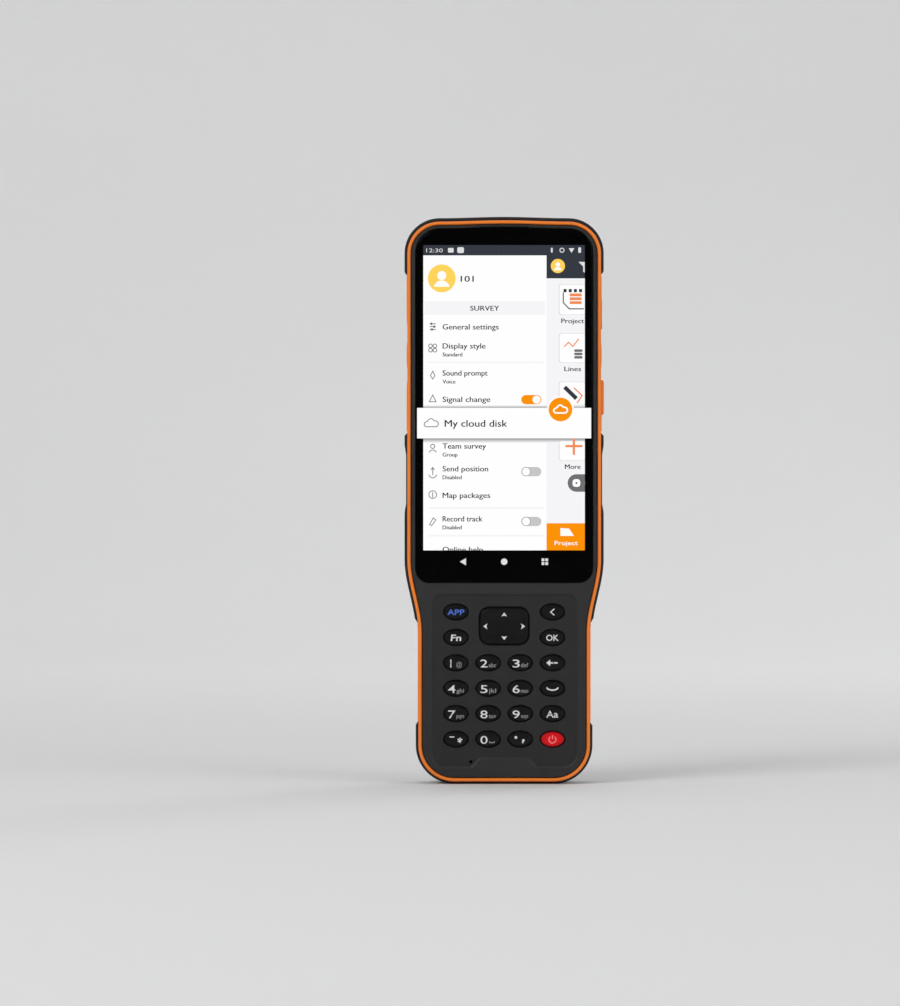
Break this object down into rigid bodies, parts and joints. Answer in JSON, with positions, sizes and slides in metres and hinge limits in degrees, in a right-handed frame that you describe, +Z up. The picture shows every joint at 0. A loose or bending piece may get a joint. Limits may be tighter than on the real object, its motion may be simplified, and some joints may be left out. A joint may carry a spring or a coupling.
{
  "type": "data collector",
  "caption": "Rugged handheld data collector: touch screen above a numeric keypad, orange frame, dark rear housing with screw-on strap bar, camera, side keys and port flap.",
  "frame": {"origin": "middle of the bounding box's foot: under the flat foot, half way across the width and the thickness", "axes": "+Z runs up the long side to the earpiece, the screen looks along -Y, +X is on the right of the screen"},
  "size_m": [0.0775, 0.0229, 0.22],
  "materials": {
    "housing_grey": "fine-textured soft-touch dark grey",
    "frame_orange": "satin orange",
    "cover_dark": "satin charcoal",
    "cover_glass": "gloss black behind glass",
    "display_stack": "dark panel with a foil back",
    "chassis_alloy": "die-cast, lightly blasted",
    "circuit_board": "green solder mask",
    "battery_pouch": "black wrap",
    "silicone_grey": "matte silicone",
    "module_black": "matte black",
    "window_black": "gloss black",
    "bar_grey": "fine-textured mid grey",
    "screw_steel": "dull machined",
    "label_gloss": "gloss black",
    "insert_yellow": "satin yellow-plated",
    "socket_steel": "plain steel",
    "port_rubber": "matte black rubber",
    "side_key_brown": "satin dark orange",
    "key_black": "semi-gloss black",
    "key_red": "semi-gloss red"
  },
  "bodies": {
    "case": {"rear_housing": "housing_grey", "mid_frame": "frame_orange", "front_cover": "cover_dark", "touch_glass": "cover_glass", "display_module": "display_stack", "chassis_plate": "chassis_alloy", "main_board": "circuit_board", "battery_pack": "battery_pouch", "keypad_mat": "silicone_grey", "keypad_board": "circuit_board", "speaker": "module_black", "earpiece": "module_black", "camera_module": "module_black", "camera_window": "window_black", "flash_window": "window_black", "housing_seal": "silicone_grey", "strap_bar": "bar_grey", "strap_bar_screw_1": "screw_steel", "strap_bar_screw_2": "screw_steel", "label_plate": "label_gloss", "strap_insert": "insert_yellow", "usb_socket": "socket_steel", "case_screw_1": "screw_steel", "case_screw_2": "screw_steel", "case_screw_3": "screw_steel", "case_screw_4": "screw_steel", "case_screw_5": "screw_steel", "case_screw_6": "screw_steel", "case_screw_7": "screw_steel", "case_screw_8": "screw_steel", "case_screw_9": "screw_steel", "case_screw_10": "screw_steel", "case_screw_11": "screw_steel", "case_screw_12": "screw_steel", "case_screw_13": "screw_steel"},
    "key_app_body": {"key_app": "key_black"},
    "key_back_body": {"key_back": "key_black"},
    "key_fn_body": {"key_fn": "key_black"},
    "key_ok_body": {"key_ok": "key_black"},
    "key_1_body": {"key_1": "key_black"},
    "key_2_body": {"key_2": "key_black"},
    "key_3_body": {"key_3": "key_black"},
    "key_delete_body": {"key_delete": "key_black"},
    "key_4_body": {"key_4": "key_black"},
    "key_5_body": {"key_5": "key_black"},
    "key_6_body": {"key_6": "key_black"},
    "key_space_body": {"key_space": "key_black"},
    "key_7_body": {"key_7": "key_black"},
    "key_8_body": {"key_8": "key_black"},
    "key_9_body": {"key_9": "key_black"},
    "key_shift_body": {"key_shift": "key_black"},
    "key_minus_body": {"key_minus": "key_black"},
    "key_0_body": {"key_0": "key_black"},
    "key_point_body": {"key_point": "key_black"},
    "key_power_body": {"key_power": "key_red"},
    "dpad_rocker_body": {"dpad_rocker": "silicone_grey"},
    "dpad_cap_body": {"dpad_cap": "key_black"},
    "side_key_body": {"side_key": "frame_orange"},
    "volume_key_body": {"volume_key": "side_key_brown"},
    "port_cover_body": {"port_cover": "port_rubber"}
  },
  "joints": [
    {"name": "key_app_press", "type": "slide", "parent": "case", "child": "key_app_body", "axis": [0, 1, 0], "range_m": [0, 0.0008], "stiffness_N_per_m": 900},
    {"name": "key_back_press", "type": "slide", "parent": "case", "child": "key_back_body", "axis": [0, 1, 0], "range_m": [0, 0.0008], "stiffness_N_per_m": 900},
    {"name": "key_fn_press", "type": "slide", "parent": "case", "child": "key_fn_body", "axis": [0, 1, 0], "range_m": [0, 0.0008], "stiffness_N_per_m": 900},
    {"name": "key_ok_press", "type": "slide", "parent": "case", "child": "key_ok_body", "axis": [0, 1, 0], "range_m": [0, 0.0008], "stiffness_N_per_m": 900},
    {"name": "key_1_press", "type": "slide", "parent": "case", "child": "key_1_body", "axis": [0, 1, 0], "range_m": [0, 0.0008], "stiffness_N_per_m": 900},
    {"name": "key_2_press", "type": "slide", "parent": "case", "child": "key_2_body", "axis": [0, 1, 0], "range_m": [0, 0.0008], "stiffness_N_per_m": 900},
    {"name": "key_3_press", "type": "slide", "parent": "case", "child": "key_3_body", "axis": [0, 1, 0], "range_m": [0, 0.0008], "stiffness_N_per_m": 900},
    {"name": "key_delete_press", "type": "slide", "parent": "case", "child": "key_delete_body", "axis": [0, 1, 0], "range_m": [0, 0.0008], "stiffness_N_per_m": 900},
    {"name": "key_4_press", "type": "slide", "parent": "case", "child": "key_4_body", "axis": [0, 1, 0], "range_m": [0, 0.0008], "stiffness_N_per_m": 900},
    {"name": "key_5_press", "type": "slide", "parent": "case", "child": "key_5_body", "axis": [0, 1, 0], "range_m": [0, 0.0008], "stiffness_N_per_m": 900},
    {"name": "key_6_press", "type": "slide", "parent": "case", "child": "key_6_body", "axis": [0, 1, 0], "range_m": [0, 0.0008], "stiffness_N_per_m": 900},
    {"name": "key_space_press", "type": "slide", "parent": "case", "child": "key_space_body", "axis": [0, 1, 0], "range_m": [0, 0.0008], "stiffness_N_per_m": 900},
    {"name": "key_7_press", "type": "slide", "parent": "case", "child": "key_7_body", "axis": [0, 1, 0], "range_m": [0, 0.0008], "stiffness_N_per_m": 900},
    {"name": "key_8_press", "type": "slide", "parent": "case", "child": "key_8_body", "axis": [0, 1, 0], "range_m": [0, 0.0008], "stiffness_N_per_m": 900},
    {"name": "key_9_press", "type": "slide", "parent": "case", "child": "key_9_body", "axis": [0, 1, 0], "range_m": [0, 0.0008], "stiffness_N_per_m": 900},
    {"name": "key_shift_press", "type": "slide", "parent": "case", "child": "key_shift_body", "axis": [0, 1, 0], "range_m": [0, 0.0008], "stiffness_N_per_m": 900},
    {"name": "key_minus_press", "type": "slide", "parent": "case", "child": "key_minus_body", "axis": [0, 1, 0], "range_m": [0, 0.0008], "stiffness_N_per_m": 900},
    {"name": "key_0_press", "type": "slide", "parent": "case", "child": "key_0_body", "axis": [0, 1, 0], "range_m": [0, 0.0008], "stiffness_N_per_m": 900},
    {"name": "key_point_press", "type": "slide", "parent": "case", "child": "key_point_body", "axis": [0, 1, 0], "range_m": [0, 0.0008], "stiffness_N_per_m": 900},
    {"name": "key_power_press", "type": "slide", "parent": "case", "child": "key_power_body", "axis": [0, 1, 0], "range_m": [0, 0.0008], "stiffness_N_per_m": 900},
    {"name": "dpad_tilt", "type": "hinge", "parent": "case", "child": "dpad_rocker_body", "pos_m": [0, -0.0062, 0.06125], "axis": [1, 0, 0], "range_deg": [-2.5, 2.5], "stiffness_Nm_per_rad": 0.3},
    {"name": "dpad_roll", "type": "hinge", "parent": "dpad_rocker_body", "child": "dpad_cap_body", "pos_m": [0, -0.0062, 0.06125], "axis": [0, 0, 1], "range_deg": [-2.5, 2.5], "stiffness_Nm_per_rad": 0.3},
    {"name": "side_key_press", "type": "slide", "parent": "case", "child": "side_key_body", "axis": [-1, 0, 0], "range_m": [0, 0.0006], "stiffness_N_per_m": 1500},
    {"name": "volume_key_press", "type": "slide", "parent": "case", "child": "volume_key_body", "axis": [-1, 0, 0], "range_m": [0, 0.0005], "stiffness_N_per_m": 1500},
    {"name": "port_cover_hinge", "type": "hinge", "parent": "case", "child": "port_cover_body", "pos_m": [0, -0.0052, 0.0004], "axis": [-1, 0, 0], "range_deg": [0, 100]}
  ]
}
